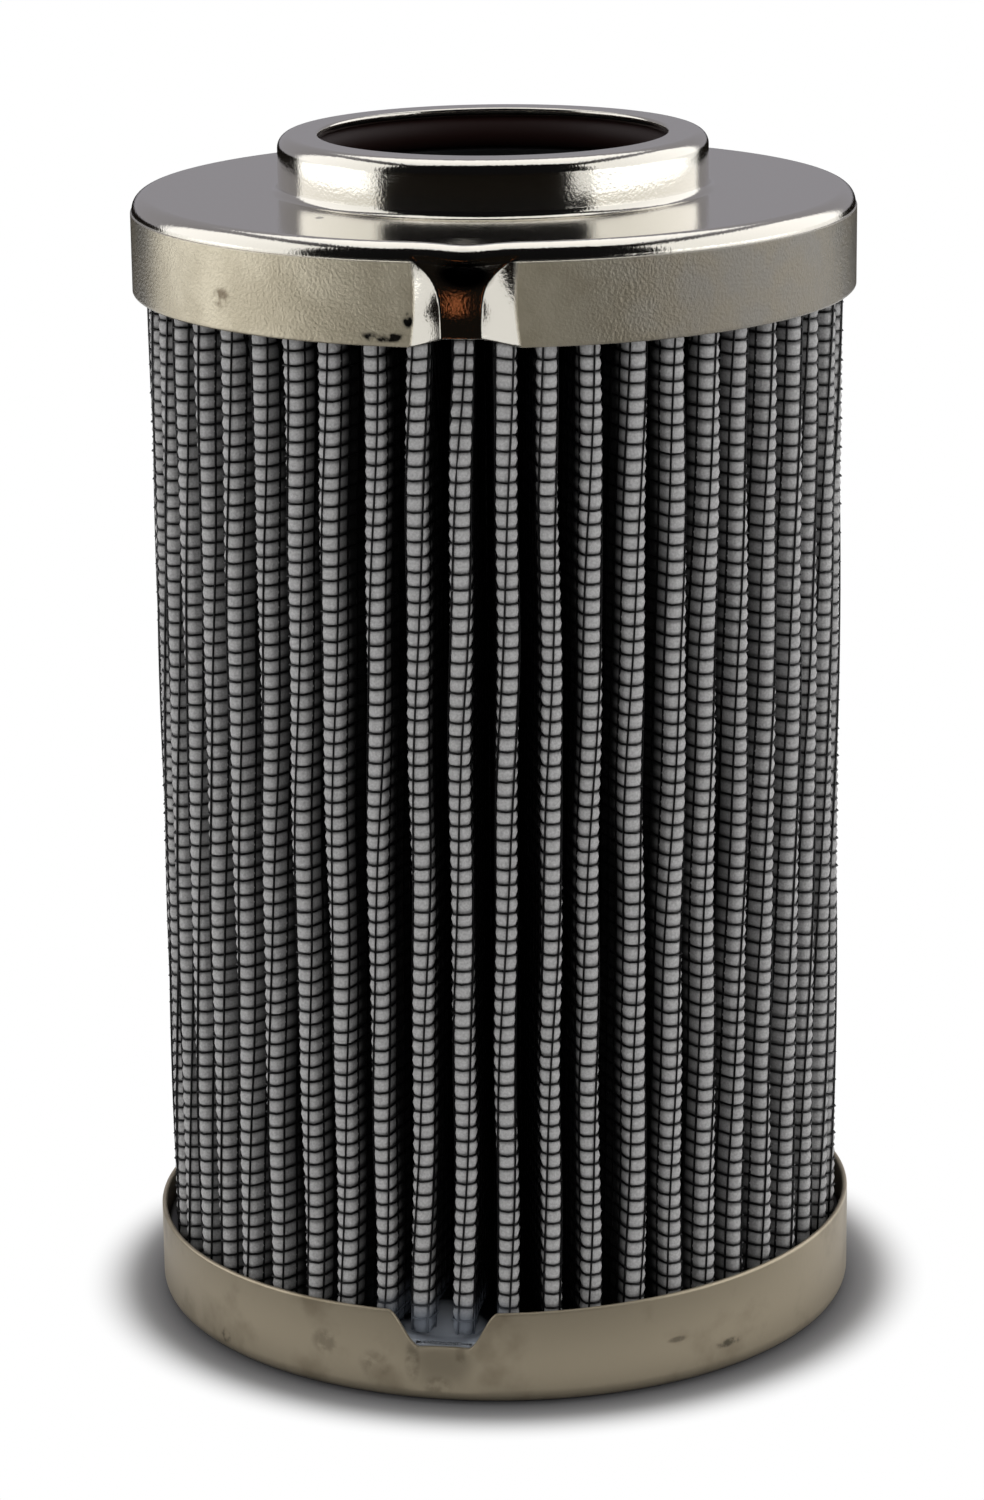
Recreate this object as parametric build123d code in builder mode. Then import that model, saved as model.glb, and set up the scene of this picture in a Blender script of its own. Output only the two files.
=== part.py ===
"""Pleated hydraulic filter element with pressed steel end caps.

The element stands on its closed cap, with +Z up and the origin at the middle of
its foot. Oil flows inwards through the pleated pack and leaves through the bore
of the top cap's collar, where an O-ring seals on the spigot of a filter head.
The dents in both rims face -Y. All lengths are in millimetres.
"""

import os
from math import atan2, cos, pi, radians, sin, sqrt, tan

from build123d import *

# Pressed sheet of both caps
cap_radius = 35.0
sheet = 0.5
rim_height = 9.4
shoulder_radius = 1.5

# Overall heights
plate_height = 111.7
collar_height = 5.4

# Collar and seal
plate_width = 18.15
seal_section = 3.5
seal_squeeze = 0.2
seal_clearance = 0.1
collar_shoulder = 1.3
collar_foot = 0.8
lip_depth = 0.8

# Seal retainer
neck_depth = 4.0
flange_width = 3.8
flange_thickness = 0.5

# Closed cap's raised centre
dish_inset = 1.85
dish_height = 1.5
dish_slope = 1.2

# Pleated pack
pleat_pitch = 2.4
pleat_clearance = 0.5
pleat_root_offset = 0.85
pleat_width = 2.3
mesh_thickness = 0.3
media_thickness = 0.4

# Centre tube
tube_clearance = 0.3
tube_wall = 0.6
tube_nest = 0.05
tube_end_gap = 0.4
slot_width = 5.0
slot_height = 9.0
slots_around = 6
slot_rows = 6
slot_row_step = 14.5

# Potting
potting_depth = 6.0

# Dents pressed into the rims
top_dent_angle = -94.4
bottom_dent_angle = -99.0
dent_width = 10.3
top_dent_depth = 3.9
top_dent_floor = 3.6
bottom_dent_depth = 2.6
bottom_dent_floor = 5.6
dent_root_depth = 0.9
dent_waist_share = 0.35
dent_clearance = 0.2
edge_dip = 3.6

# Clip that closes the pack's side seam
clip_thickness = 0.35
clip_gap = 0.03
clip_depth = 5.5
clip_angle = 88.0


def inside_bevel(radius):
    """Width of the flat that touches a corner's inside arc, which stands in for it."""
    return radius * (2 - sqrt(2))


# Sizes that follow from those above
collar_top = plate_height + collar_height
bore_radius = cap_radius - plate_width
dish_radius = bore_radius - dish_inset
seal_inner_radius = bore_radius - seal_squeeze
seal_centre_radius = seal_inner_radius + seal_section / 2
collar_inner_radius = seal_inner_radius + seal_section + seal_clearance
collar_outer_radius = collar_inner_radius + sheet
seal_centre_height = collar_top - sheet - seal_clearance - seal_section / 2
seat_height = seal_centre_height - seal_section / 2
neck_bottom = seat_height - neck_depth
plate_underside = plate_height - sheet
top_edge_height = plate_height - rim_height
inner_radius = cap_radius - sheet
shoulder_bevel = inside_bevel(shoulder_radius - sheet)
foot_bevel = inside_bevel(collar_foot + sheet)
collar_bevel = inside_bevel(collar_shoulder - sheet)
retainer_outer_radius = collar_inner_radius - seal_clearance
media_depth = mesh_thickness + media_thickness
pack_thickness = media_depth + mesh_thickness
pleat_tip_radius = inner_radius - pleat_clearance
pleat_root_radius = retainer_outer_radius + pleat_root_offset
pleat_count = round(2 * pi * pleat_root_radius / pleat_pitch)
pack_inner_radius = pleat_root_radius - pack_thickness
tube_outer_radius = pack_inner_radius - tube_clearance
tube_inner_radius = tube_outer_radius - tube_wall
tube_top = neck_bottom - tube_end_gap
skirt_inner_radius = tube_outer_radius + tube_nest
flange_radius = retainer_outer_radius + flange_width
flange_underside = plate_underside - flange_thickness
pack_bottom = sheet + potting_depth
pack_top = plate_underside - potting_depth
pack_height = pack_top - pack_bottom
half_pitch = radians(180 / pleat_count)
tip_centre = pleat_tip_radius - pleat_width / 2

top_dent = (top_dent_angle, top_edge_height, plate_height, top_dent_depth, top_dent_floor)
bottom_dent = (bottom_dent_angle, rim_height, 0.0, bottom_dent_depth, bottom_dent_floor)


def facing(angle):
    """Upright plane through the element's axis that faces outwards at an angle from +X."""
    return Plane(
        origin=(0, 0, 0),
        x_dir=(-sin(radians(angle)), cos(radians(angle)), 0),
        z_dir=(cos(radians(angle)), sin(radians(angle)), 0),
    )


def dent_outline(depth, floor_width, grow):
    """Four-sided section of the hollow that the punch leaves, opened past the rim.

    The flanks run from the dent's width at the rim to the floor's width at its
    depth. The section grows by the sheet when it bounds the cap's inside.
    """
    outside = cap_radius + 2 * sheet + grow
    flare = (dent_width - floor_width) / 2 * (outside - cap_radius + depth) / depth
    with BuildSketch(mode=Mode.PRIVATE) as section:
        with BuildLine():
            Polyline(
                (cap_radius - depth, floor_width / 2),
                (outside, floor_width / 2 + flare),
                (outside, -floor_width / 2 - flare),
                (cap_radius - depth, -floor_width / 2),
                close=True,
            )
        make_face()
        if grow:
            offset(amount=grow, kind=Kind.INTERSECTION)
    return section.sketch


def dent_hollow(angle, edge, root, depth, floor_width, grow=0.0):
    """Solid that one dent takes out of a rim, deepest at the rim's free edge."""
    beyond = (edge - root) * 0.1
    waist = root + (edge - root) * dent_waist_share
    waist_depth = (depth + dent_root_depth) / 2
    stations = (
        (root, dent_root_depth, dent_width - dent_root_depth),
        (waist, waist_depth, (floor_width + dent_width) / 2),
        (edge + beyond, depth, floor_width),
    )
    with BuildPart() as hollow:
        for height, station_depth, width in stations:
            with BuildSketch(Plane.XY.offset(height).rotated((0, 0, angle))):
                add(dent_outline(station_depth, width, grow))
        loft(ruled=True)
    return hollow.part


def edge_dip_cut(shrink=0.0):
    """Wedge above the lower cap's dent, where pressing draws the rim's edge down."""
    with BuildPart() as cut:
        with BuildSketch(facing(bottom_dent_angle).offset(pleat_root_radius)):
            with BuildLine():
                Polyline(
                    (-dent_width / 2 + shrink, rim_height),
                    (-bottom_dent_floor / 2 + shrink, rim_height - edge_dip + shrink),
                    (bottom_dent_floor / 2 - shrink, rim_height - edge_dip + shrink),
                    (dent_width / 2 - shrink, rim_height),
                    (dent_width / 2 - shrink, 2 * rim_height),
                    (-dent_width / 2 + shrink, 2 * rim_height),
                    close=True,
                )
            make_face()
        extrude(amount=cap_radius)
    return cut.part


def turned(corners, radii):
    """Solid turned about the element's axis, bounded by a line of (radius, height)."""
    with BuildPart() as solid:
        with BuildSketch(Plane.XZ):
            with BuildLine():
                path = FilletPolyline(*corners, radius=radii)
                Polyline(path @ 1, (0, (path @ 1).Y), (0, (path @ 0).Y), path @ 0)
            make_face()
        revolve(axis=Axis.Z)
    return solid.part


def hollow_turned(corners):
    """Inside of a cap, turned about the element's axis from a section of (radius, height)."""
    with BuildPart() as solid:
        with BuildSketch(Plane.XZ):
            with BuildLine():
                Polyline(*corners, close=True)
            make_face()
        revolve(axis=Axis.Z)
    return solid.part


os.makedirs("parts", exist_ok=True)

# Open cap: plate, rim and the collar that holds the seal
top_body = turned(
    [
        (cap_radius, top_edge_height),
        (cap_radius, plate_height),
        (collar_outer_radius, plate_height),
        (collar_outer_radius, collar_top),
        (bore_radius, collar_top),
        (bore_radius, collar_top - lip_depth),
    ],
    [shoulder_radius, collar_foot, collar_shoulder, 0],
)
top_cavity = hollow_turned(
    [
        (0, top_edge_height),
        (inner_radius, top_edge_height),
        (inner_radius, plate_underside - shoulder_bevel),
        (inner_radius - shoulder_bevel, plate_underside),
        (collar_inner_radius + foot_bevel, plate_underside),
        (collar_inner_radius, plate_underside + foot_bevel),
        (collar_inner_radius, collar_top - sheet - collar_bevel),
        (collar_inner_radius - collar_bevel, collar_top - sheet),
        (0, collar_top - sheet),
    ]
)
with BuildPart() as top_cap:
    add(top_body)
    add(top_cavity, mode=Mode.SUBTRACT)
    with BuildSketch(Plane.XY.offset(collar_top - lip_depth)):
        Circle(bore_radius + sheet)
        Circle(bore_radius, mode=Mode.SUBTRACT)
    extrude(amount=lip_depth - sheet)
    with BuildSketch(Plane.XY.offset(collar_top)):
        Circle(bore_radius)
    extrude(amount=-sheet, mode=Mode.SUBTRACT)
    add(dent_hollow(*top_dent, grow=sheet) & top_body)
    add(dent_hollow(*top_dent), mode=Mode.SUBTRACT)
top_cap.part.label = "top_cap"
export_step(top_cap.part, "parts/top_cap.step")

# Closed cap: its centre is raised, so the element stands on the outer ring
dish_lean = sheet * tan(atan2(dish_height, dish_slope) / 2)
bottom_body = turned(
    [
        (cap_radius, rim_height),
        (cap_radius, 0),
        (dish_radius + dish_slope, 0),
        (dish_radius, dish_height),
        (dish_radius / 2, dish_height),
    ],
    [shoulder_radius, 0, 0],
)
bottom_cavity = hollow_turned(
    [
        (0, rim_height),
        (inner_radius, rim_height),
        (inner_radius, sheet + shoulder_bevel),
        (inner_radius - shoulder_bevel, sheet),
        (dish_radius + dish_slope + dish_lean, sheet),
        (dish_radius + dish_lean, dish_height + sheet),
        (0, dish_height + sheet),
    ]
)
with BuildPart() as bottom_cap:
    add(bottom_body)
    add(bottom_cavity, mode=Mode.SUBTRACT)
    add(dent_hollow(*bottom_dent, grow=sheet) & bottom_body)
    add(dent_hollow(*bottom_dent), mode=Mode.SUBTRACT)
    add(edge_dip_cut(), mode=Mode.SUBTRACT)
bottom_cap.part.label = "bottom_cap"
export_step(bottom_cap.part, "parts/bottom_cap.step")

# Seal: an O-ring held between the collar's lip and the retainer
with BuildPart() as o_ring:
    with BuildSketch(Plane.XZ):
        with Locations((seal_centre_radius, seal_centre_height)):
            Circle(seal_section / 2)
    revolve(axis=Axis.Z)
o_ring.part.label = "o_ring"
export_step(o_ring.part, "parts/o_ring.step")

# Seal retainer: a ring under the seal, its flange under the plate, its skirt round the tube
with BuildPart() as seal_retainer:
    with BuildSketch(Plane.XZ):
        with BuildLine():
            Polyline(
                (bore_radius, neck_bottom),
                (bore_radius, seat_height),
                (retainer_outer_radius, seat_height),
                (retainer_outer_radius, plate_underside),
                (flange_radius, plate_underside),
                (flange_radius, flange_underside),
                (retainer_outer_radius, flange_underside),
                (retainer_outer_radius, pack_top),
                (skirt_inner_radius, pack_top),
                (skirt_inner_radius, neck_bottom),
                close=True,
            )
        make_face()
    revolve(axis=Axis.Z)
seal_retainer.part.label = "seal_retainer"
export_step(seal_retainer.part, "parts/seal_retainer.step")

# Centre tube: slotted steel that keeps the pack from collapsing inwards
with BuildPart() as centre_tube:
    with BuildSketch(Plane.XY.offset(sheet)):
        Circle(tube_outer_radius)
        Circle(tube_inner_radius, mode=Mode.SUBTRACT)
    extrude(amount=tube_top - sheet)
    for column in range(slots_around):
        with BuildSketch(facing(column * 360 / slots_around)):
            with Locations((0, (pack_bottom + pack_top) / 2)):
                with GridLocations(0, slot_row_step, 1, slot_rows):
                    Rectangle(slot_width, slot_height)
        extrude(amount=tube_outer_radius + tube_wall, mode=Mode.SUBTRACT)
centre_tube.part.label = "centre_tube"
export_step(centre_tube.part, "parts/centre_tube.step")


def pleated_outline(depth, tip_flats):
    """Outline that lies at one depth below the outside of the folded pack.

    Each pleat is a right-hand foot, its tip, a left-hand foot and the fold beyond
    it. A tip is a half circle in flats, or one flat across where the pack is deep.
    """
    width = pleat_width / 2 - depth
    if tip_flats == 1:
        tip = [(pleat_tip_radius - depth, -width), (pleat_tip_radius - depth, width)]
    else:
        turns = [radians(180 * flat / tip_flats - 90) for flat in range(tip_flats + 1)]
        tip = [(tip_centre + width * cos(turn), width * sin(turn)) for turn in turns]
    foot = (pleat_root_radius * cos(half_pitch), pleat_root_radius * sin(half_pitch) - depth)
    feet = [(foot[0], -foot[1]), foot] if depth else []
    fold_radius = pleat_root_radius - depth
    fold = (fold_radius * cos(half_pitch), fold_radius * sin(half_pitch))
    pleat = feet[:1] + tip + feet[1:] + [fold]
    with BuildLine() as outline:
        Polyline(
            *[
                Vector(*corner).rotate(Axis.Z, clip_angle + crest * 360 / pleat_count)
                for crest in range(pleat_count)
                for corner in pleat
            ],
            close=True,
        )
    return outline.line


top_clearance = dent_hollow(*top_dent, grow=sheet + dent_clearance)
bottom_clearance = dent_hollow(*bottom_dent, grow=sheet + dent_clearance) - edge_dip_cut(dent_clearance)

# Pleated pack, outside: woven mesh of coated wire
with BuildPart() as outer_mesh:
    with BuildSketch(Plane.XY.offset(pack_bottom)):
        add(pleated_outline(0, 6))
        make_face()
        add(pleated_outline(mesh_thickness, 3))
        make_face(mode=Mode.SUBTRACT)
    extrude(amount=pack_height)
    add(top_clearance, mode=Mode.SUBTRACT)
    add(bottom_clearance, mode=Mode.SUBTRACT)
outer_mesh.part.label = "outer_mesh"
export_step(outer_mesh.part, "parts/outer_mesh.step")

# Pleated pack, middle: filter media
with BuildPart() as filter_media:
    with BuildSketch(Plane.XY.offset(pack_bottom)):
        add(pleated_outline(mesh_thickness, 3))
        make_face()
        add(pleated_outline(media_depth, 1))
        make_face(mode=Mode.SUBTRACT)
    extrude(amount=pack_height)
    add(top_clearance, mode=Mode.SUBTRACT)
    add(bottom_clearance, mode=Mode.SUBTRACT)
filter_media.part.label = "filter_media"
export_step(filter_media.part, "parts/filter_media.step")

# Pleated pack, inside: woven mesh again
with BuildPart() as inner_mesh:
    with BuildSketch(Plane.XY.offset(pack_bottom)):
        add(pleated_outline(media_depth, 1))
        make_face()
        add(pleated_outline(pack_thickness, 1))
        make_face(mode=Mode.SUBTRACT)
    extrude(amount=pack_height)
    add(top_clearance, mode=Mode.SUBTRACT)
    add(bottom_clearance, mode=Mode.SUBTRACT)
inner_mesh.part.label = "inner_mesh"
export_step(inner_mesh.part, "parts/inner_mesh.step")

# Seam clip: a folded strip over the pleat in which the pack's two ends meet
clip_inside = pleat_width / 2 + clip_gap
clip_outside = clip_inside + clip_thickness
clip_end = pleat_tip_radius - clip_depth
flank_run = tip_centre - pleat_root_radius * cos(half_pitch)
flank_lean = (pleat_root_radius * sin(half_pitch) - pleat_width / 2) / flank_run
clip_spread = (tip_centre - clip_end) * flank_lean
with BuildPart() as seam_clip:
    with BuildSketch(Plane.XY.offset(pack_bottom).rotated((0, 0, clip_angle))):
        for half_width, mode in ((clip_outside, Mode.ADD), (clip_inside, Mode.SUBTRACT)):
            with Locations((tip_centre, 0)):
                Circle(half_width, mode=mode)
            with BuildLine():
                Polyline(
                    (tip_centre, half_width),
                    (clip_end, half_width + clip_spread),
                    (clip_end, -half_width - clip_spread),
                    (tip_centre, -half_width),
                    close=True,
                )
            make_face(mode=mode)
    extrude(amount=pack_height)
seam_clip.part.label = "seam_clip"
export_step(seam_clip.part, "parts/seam_clip.step")

# Potting: resin cast in both caps, in which the pack's ends are sealed
with BuildPart() as top_potting:
    add(top_cavity)
    with BuildSketch(Plane.XY):
        Circle(cap_radius)
    extrude(amount=pack_top, mode=Mode.SUBTRACT)
    with BuildSketch(Plane.XY.offset(pack_top)):
        Circle(retainer_outer_radius)
    extrude(amount=collar_top, mode=Mode.SUBTRACT)
    with BuildSketch(Plane.XY.offset(flange_underside)):
        Circle(flange_radius)
    extrude(amount=collar_top, mode=Mode.SUBTRACT)
    add(dent_hollow(*top_dent, grow=sheet), mode=Mode.SUBTRACT)
top_potting.part.label = "top_potting"
export_step(top_potting.part, "parts/top_potting.step")

with BuildPart() as bottom_potting:
    add(bottom_cavity)
    with BuildSketch(Plane.XY.offset(pack_bottom)):
        Circle(cap_radius)
    extrude(amount=rim_height, mode=Mode.SUBTRACT)
    with BuildSketch(Plane.XY):
        Circle(tube_outer_radius)
    extrude(amount=rim_height, mode=Mode.SUBTRACT)
    add(dent_hollow(*bottom_dent, grow=sheet), mode=Mode.SUBTRACT)
bottom_potting.part.label = "bottom_potting"
export_step(bottom_potting.part, "parts/bottom_potting.step")
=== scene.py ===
import bpy
import numpy as np
from mathutils import Matrix, Vector


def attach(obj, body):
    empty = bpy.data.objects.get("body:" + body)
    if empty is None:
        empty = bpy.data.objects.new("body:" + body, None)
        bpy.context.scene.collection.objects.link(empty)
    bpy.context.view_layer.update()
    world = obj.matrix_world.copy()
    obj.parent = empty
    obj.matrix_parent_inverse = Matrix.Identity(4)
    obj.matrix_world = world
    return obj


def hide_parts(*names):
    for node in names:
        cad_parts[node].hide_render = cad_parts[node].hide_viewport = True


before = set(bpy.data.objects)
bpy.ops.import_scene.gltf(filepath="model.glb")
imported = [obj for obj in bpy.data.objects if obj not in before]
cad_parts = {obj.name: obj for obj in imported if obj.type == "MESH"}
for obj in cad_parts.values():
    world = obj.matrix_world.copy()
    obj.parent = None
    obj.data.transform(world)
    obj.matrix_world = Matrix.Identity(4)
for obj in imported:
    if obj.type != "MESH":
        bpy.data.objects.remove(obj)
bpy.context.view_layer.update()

mm = 0.001

# Camera, at the photograph's place: 43 cm in front of the element and 18 cm up, looking
# down at it through a long lens. It stands nearly level.
camera_place = Vector((0.0, -432.8, 175.6)) * mm
camera_pan = -0.00176
camera_tilt = 0.27106
camera_roll = -0.01171
ahead = Vector((
    np.sin(camera_pan) * np.cos(camera_tilt),
    np.cos(camera_pan) * np.cos(camera_tilt),
    -np.sin(camera_tilt),
))
level = ahead.cross(Vector((0, 0, 1))).normalized()
upright = level.cross(ahead)
right = np.cos(camera_roll) * level + np.sin(camera_roll) * upright
over = np.cos(camera_roll) * upright - np.sin(camera_roll) * level
camera = bpy.data.objects.new("camera", bpy.data.cameras.new("camera"))
bpy.context.scene.collection.objects.link(camera)
bpy.context.scene.camera = camera
camera.matrix_world = Matrix.Translation(camera_place) @ Matrix((right, over, -ahead)).transposed().to_4x4()
camera.data.sensor_width = 36.0
camera.data.lens = 108.06


# Centre tube: zinc-plated steel strip, slotted and rolled, that the pleats lean on.
# It shows only through the bore, so the solid keeps its form and gets its finish.


def linear(colour):
    """An sRGB hex colour as linear red, green, blue and full cover."""
    parts = [int(colour[i:i + 2], 16) / 255 for i in (1, 3, 5)]
    return [p / 12.92 if p <= 0.04045 else ((p + 0.055) / 1.055) ** 2.4 for p in parts] + [1.0]


def add_node(tree, kind, inputs=None, **settings):
    """Adds a node with its settings; each input is a value or the socket that feeds it."""
    node = tree.nodes.new(kind)
    for name, value in settings.items():
        setattr(node, name, value)
    for name, value in (inputs or {}).items():
        if isinstance(value, bpy.types.NodeSocket):
            tree.links.new(value, node.inputs[name])
        else:
            node.inputs[name].default_value = value
    return node


def new_material(name, colour, roughness, metallic=0.0):
    """A material with one Principled shader, and that shader."""
    material = bpy.data.materials.new(name)
    material.use_nodes = True
    shader = material.node_tree.nodes["Principled BSDF"]
    shader.inputs["Base Color"].default_value = linear(colour)
    shader.inputs["Roughness"].default_value = roughness
    shader.inputs["Metallic"].default_value = metallic
    return material, shader


def coat(piece, material):
    """Gives a piece its one material."""
    piece.data.materials.clear()
    piece.data.materials.append(material)


# Zinc plate: dull bright metal with a spangle of a millimetre or so
zinc, zinc_shader = new_material("rolled zinc-plated steel", "#a4a5a4", 0.38, 1.0)
tree = zinc.node_tree
where = add_node(tree, "ShaderNodeTexCoord").outputs["Object"]
spangle = add_node(tree, "ShaderNodeTexNoise", {"Vector": where, "Scale": 900.0, "Detail": 3.0})
zinc_tone = add_node(tree, "ShaderNodeMix", {
    0: spangle.outputs["Fac"], 6: linear("#8f9090"), 7: linear("#b3b4b2"),
}, data_type="RGBA")
tree.links.new(zinc_tone.outputs[2], zinc_shader.inputs["Base Color"])
coat(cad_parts["centre_tube"], zinc)

# Inner mesh: woven steel wire on the clean side of the pleated pack, seen only through
# the tube's slots, so a folded sheet as thick as the weave stands for it. The pack is
# folded from mesh, fleece and mesh together, into fifty-five pleats a little uneven in
# spacing, width and lean.
cap_radius = 35.0 * mm
sheet = 0.5 * mm
rim_height = 9.4 * mm
plate_height = 111.7 * mm
top_edge = plate_height - rim_height
pack_low = 6.5 * mm
pack_high = 105.2 * mm
tip_radius = 34.0 * mm
fold_radius = 21.0 * mm
tip_reach = 1.0 * mm
mesh_depth = 0.3 * mm
media_depth = 0.7 * mm
inner_depth = 1.0 * mm
chance = np.random.default_rng(55)

front_steps = [8, 7.8, 7.4, 7.2, 7.1, 6.6, 7.3, 7.2, 6.9, 7.3, 7.2, 6.6, 7.6, 7.3, 6.4, 7.2, 7.3, 6.8, 8, 7.8, 7.8]
front_lean = [0, -0.3, 0, 0.4, 0.5, -0.2, -0.2, 0.5, 0.8, 0.8, 0.8, 0.3, 0.6, 0.3, 0.5, 0.5, 0.2, 0.3, 0.5, 0, 0.3, 0]
first_crest = -161.8
clip_crest = 88.0
front = first_crest + np.concatenate([[0], np.cumsum(front_steps)])
right_back = np.linspace(front[-1], clip_crest, 17)[1:]
left_back = np.linspace(clip_crest, first_crest + 360, 19)[1:-1]
right_back[:-1] += chance.uniform(-0.5, 0.5, 15)
left_back += chance.uniform(-0.5, 0.5, 17)
crest = np.radians(np.concatenate([front, right_back, left_back]))
pleats = len(crest)
fold_after = (crest + np.append(crest[1:], crest[0] + 2 * np.pi)) / 2
fold_before = np.append(fold_after[-1] - 2 * np.pi, fold_after[:-1])
clip_pleat = len(front) + len(right_back) - 1
uneven = np.where(np.arange(pleats) == clip_pleat, 0, 1)
half_width = (1.12 + uneven * chance.uniform(-0.07, 0.07, pleats)) * mm
tip_out = tip_radius - uneven * chance.uniform(0.0, 0.45, pleats) * mm
lean = uneven * chance.uniform(-0.35, 0.35, pleats) * mm
lean[:len(front)] = np.array(front_lean) * mm
wave_turn = chance.uniform(0, 2 * np.pi, (2, pleats))


def dent_depth(turn, height, centre, edge, root, reach, half, floor_half, floor_shift, flare, pinch, crisp):
    """How far a pressed rim lies inside its circle.

    Down the dent, the depth grows from nothing at the root to its reach at the edge, as
    one minus a falling square, or as a smooth step if it isn't crisp. Across it, the
    floor is flat, half as wide as floor_half at the edge, and widens towards the root by
    a power named flare. It lies to -X of the middle by floor_shift. The creases beside
    it come closer by the pinch halfway down. A crisp flank is a plane from the crease
    to the floor, and another one is a smooth step.
    """
    signed = np.angle(np.exp(1j * (turn - centre))) * cap_radius
    across = np.abs(signed)
    down = np.clip((height - root) / (edge - root), 0, 1)
    floor = floor_half - floor_shift * np.sign(signed)
    floor = floor + (half - floor) * (1 - down) ** flare
    crease = half - pinch * np.sin(np.pi * down)
    flank = np.clip((crease - across) / np.maximum(crease - floor, 0.3 * mm), 0, 1)
    if crisp:
        return reach * (1 - (1 - down) ** 2) * flank
    return reach * down * down * (3 - 2 * down) * flank * flank * (3 - 2 * flank)


top_dent = dict(centre=np.radians(-94.4), edge=top_edge, root=plate_height - 1.0 * mm, reach=2.8 * mm,
                half=5.15 * mm, floor_half=2.0 * mm, floor_shift=0.6 * mm, flare=4.5, pinch=0.4 * mm, crisp=True)
bottom_dent = dict(centre=np.radians(-100.1), edge=rim_height, root=0.3 * mm, reach=0.8 * mm,
                   half=5.4 * mm, floor_half=0.7 * mm, floor_shift=0.0, flare=4.0, pinch=0.0, crisp=False)


def pack_point(column, height, depth):
    """Point of the folded pack, for arrays of column, height and depth.

    A column's whole part is its pleat, and the rest runs from the fold before that pleat
    to the fold after it. The middle quarter goes round the tip's half ellipse. Outside
    it the flank runs straight to its foot beside the fold. The depth is measured square
    to the sheet's outside. Tips sway with the height, and near a dent they stay behind
    the cap's sheet.
    """
    column = column % pleats
    pleat = column.astype(int)
    station = 2 * (column - pleat) - 1
    share = np.abs(station)
    side = np.sign(station)
    rise = (height - pack_low) / (pack_high - pack_low)
    sway = lean[pleat] * (rise - 0.5)
    sway = sway + uneven[pleat] * 0.16 * mm * np.sin(2 * np.pi * 1.3 * rise + wave_turn[0, pleat])
    sway = sway + uneven[pleat] * 0.07 * mm * np.sin(2 * np.pi * 3.7 * rise + wave_turn[1, pleat])
    turn = np.clip(share / 0.25, 0, 1) * np.pi / 2
    out = tip_out[pleat] - tip_reach + (tip_reach - depth) * np.cos(turn)
    across = side * (half_width[pleat] - depth) * np.sin(turn) + sway
    fold = np.where(side > 0, fold_after[pleat], fold_before[pleat]) - crest[pleat]
    foot_out = fold_radius * np.cos(fold)
    foot_across = fold_radius * np.sin(fold) - side * depth
    flank = np.clip((share - 0.25) / 0.65, 0, 1)
    out = out + (foot_out - out) * flank
    across = across + (foot_across - across) * flank
    bend = np.clip((share - 0.9) / 0.1, 0, 1)
    out = out + ((fold_radius - depth) * np.cos(fold) - out) * bend
    across = across + ((fold_radius - depth) * np.sin(fold) - across) * bend
    angle = crest[pleat] + np.arctan2(across, out)
    near_top = np.clip((height - top_edge + 15 * mm) / (15 * mm), 0, 1)
    near_top = near_top * near_top * (3 - 2 * near_top)
    pressed = near_top * dent_depth(angle, top_edge + 0 * angle, **top_dent)
    low = np.clip((20 * mm - height) / (13 * mm), 0, 1)
    low = low * low * (3 - 2 * low)
    pressed = pressed + low * dent_depth(angle, 8 * mm + 0 * angle, **bottom_dent)
    limit = cap_radius - sheet - 0.35 * mm - depth - pressed
    radius = np.minimum(np.hypot(out, across), limit)
    return np.stack([radius * np.cos(angle), radius * np.sin(angle), height + 0 * angle], -1)


def surface(name, points, wrap=True, uv=None):
    """Mesh of a grid of points, whose columns close into a ring.

    Rows close too if they wrap, and otherwise the first and last row are single points
    on the axis. The uv grid has one row and one column more than the points.
    """
    rows, columns = points.shape[:2]
    row = np.arange(rows if wrap else rows - 1)[:, None]
    column = np.arange(columns)[None, :]
    here = row * columns + column
    along = row * columns + (column + 1) % columns
    up = (row + 1) % rows * columns
    corners = np.stack([here, along, up + (column + 1) % columns, up + column], -1).reshape(-1, 4)
    spots = None
    if uv is not None:
        r, c = np.broadcast_arrays(row, column)
        spots = np.stack([uv[r, c], uv[r, c + 1], uv[r + 1, c + 1], uv[r + 1, c]], 2)
    if not wrap:
        corners = np.where(corners < columns, 0, corners)
        corners = np.where(corners >= (rows - 1) * columns, rows * columns - 1, corners)
    mesh = bpy.data.meshes.new(name)
    mesh.vertices.add(rows * columns)
    mesh.vertices.foreach_set("co", points.astype(np.float32).ravel())
    if wrap:
        loops, sizes = corners.ravel(), np.full(len(corners), 4)
    else:
        quads = corners[columns:-columns]
        low = corners[:columns, [0, 2, 3]]
        high = corners[-columns:, [0, 1, 2]]
        loops = np.concatenate([low.ravel(), quads.ravel(), high.ravel()])
        sizes = np.concatenate([np.full(columns, 3), np.full(len(quads), 4), np.full(columns, 3)])
    mesh.loops.add(len(loops))
    mesh.loops.foreach_set("vertex_index", loops.astype(np.int32))
    mesh.polygons.add(len(sizes))
    mesh.polygons.foreach_set("loop_start", (np.cumsum(sizes) - sizes).astype(np.int32))
    mesh.update(calc_edges=True)
    if spots is not None:
        mesh.uv_layers.new(name="UVMap").data.foreach_set("uv", spots.astype(np.float32).ravel())
    mesh.validate()
    mesh.shade_smooth()
    piece = bpy.data.objects.new(name, mesh)
    bpy.context.scene.collection.objects.link(piece)
    return piece


def columns_at(stations):
    """Columns of the whole pack from the stations of one pleat, which run from -1 to 1."""
    return (np.arange(pleats)[:, None] + (np.asarray(stations)[None] + 1) / 2).ravel()


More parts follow.
